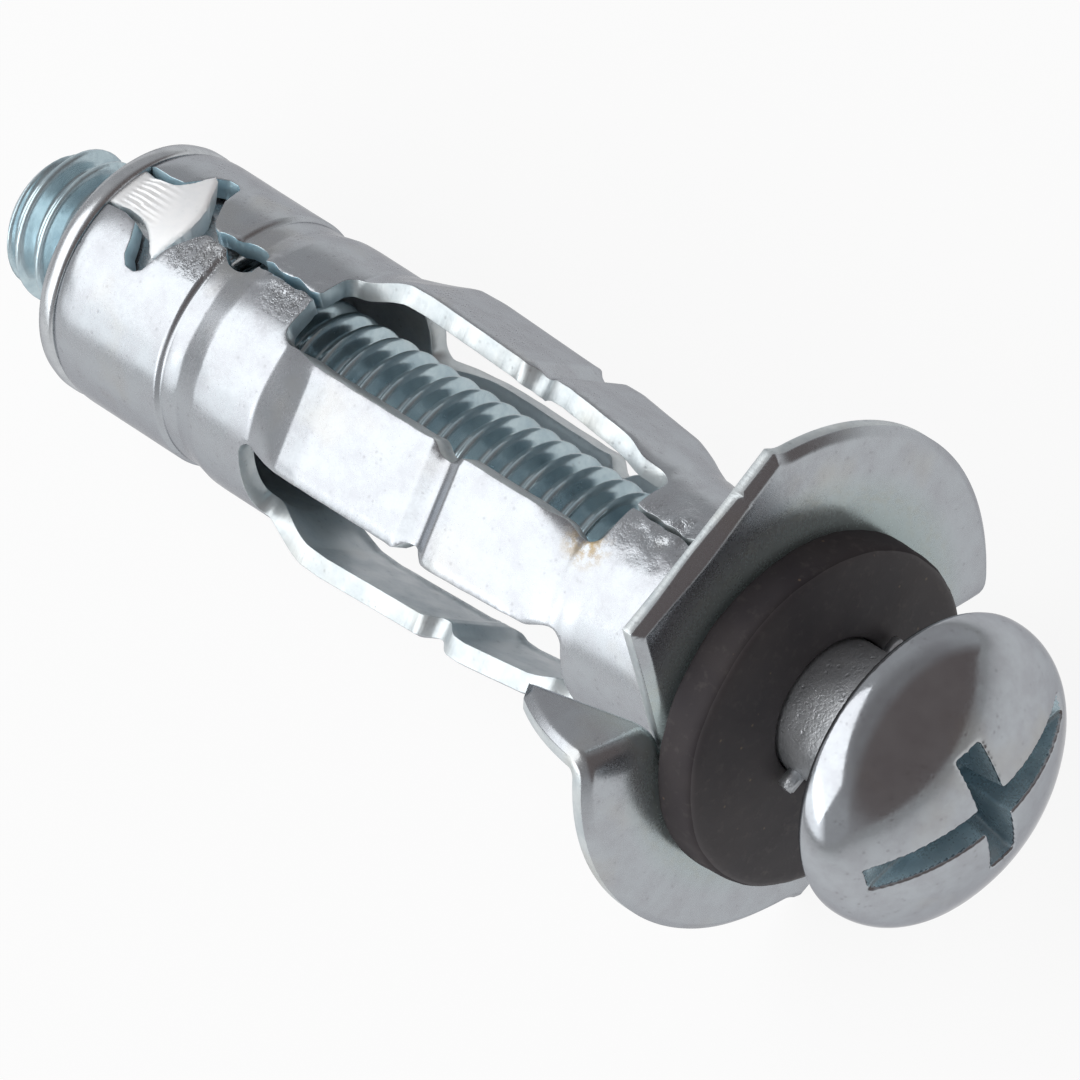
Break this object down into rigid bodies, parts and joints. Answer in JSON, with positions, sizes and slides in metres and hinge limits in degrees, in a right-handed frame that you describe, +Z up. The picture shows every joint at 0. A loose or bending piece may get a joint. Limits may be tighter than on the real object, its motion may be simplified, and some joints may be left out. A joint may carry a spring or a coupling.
{
  "type": "hollow wall anchor",
  "caption": "Metal cavity wall anchor: machine screw with fibre washer in a slotted sheet sleeve with a toothed flange and a captive threaded nut.",
  "frame": {"origin": "centre of the footprint, on the surface that the anchor lies on", "axes": "+X along the screw from its tip towards its head, level, +Z up; the screw's own axis rises by 6.6 degrees towards the head, as the anchor lies on the flat of its flange and the rim of its nut"},
  "size_m": [0.0324, 0.013, 0.0117],
  "materials": {
    "sleeve_sheet": "bright zinc plate, semi-gloss",
    "nut_steel": "bright zinc plate, knurled lug",
    "washer_fibre": "matt dark fibre",
    "screw_steel": "bluish zinc plate"
  },
  "bodies": {
    "anchor": {"sleeve": "sleeve_sheet", "nut": "nut_steel"},
    "feed": {"washer": "washer_fibre"},
    "screw": {"screw": "screw_steel"}
  },
  "joints": [
    {"name": "screw_feed", "type": "slide", "parent": "anchor", "child": "feed", "axis": [0.9934, 0, 0.1149], "range_m": [-0.00023, 0.0071]},
    {"name": "screw_turn", "type": "hinge", "parent": "feed", "child": "screw", "pos_m": [0.00947, 0, 0.00587], "axis": [0.9934, 0, 0.1149], "range_deg": [-120, 3655]}
  ],
  "couplings": [
    {"joint": "screw_turn", "follows": "screw_feed", "rad_per_m": 8976}
  ]
}
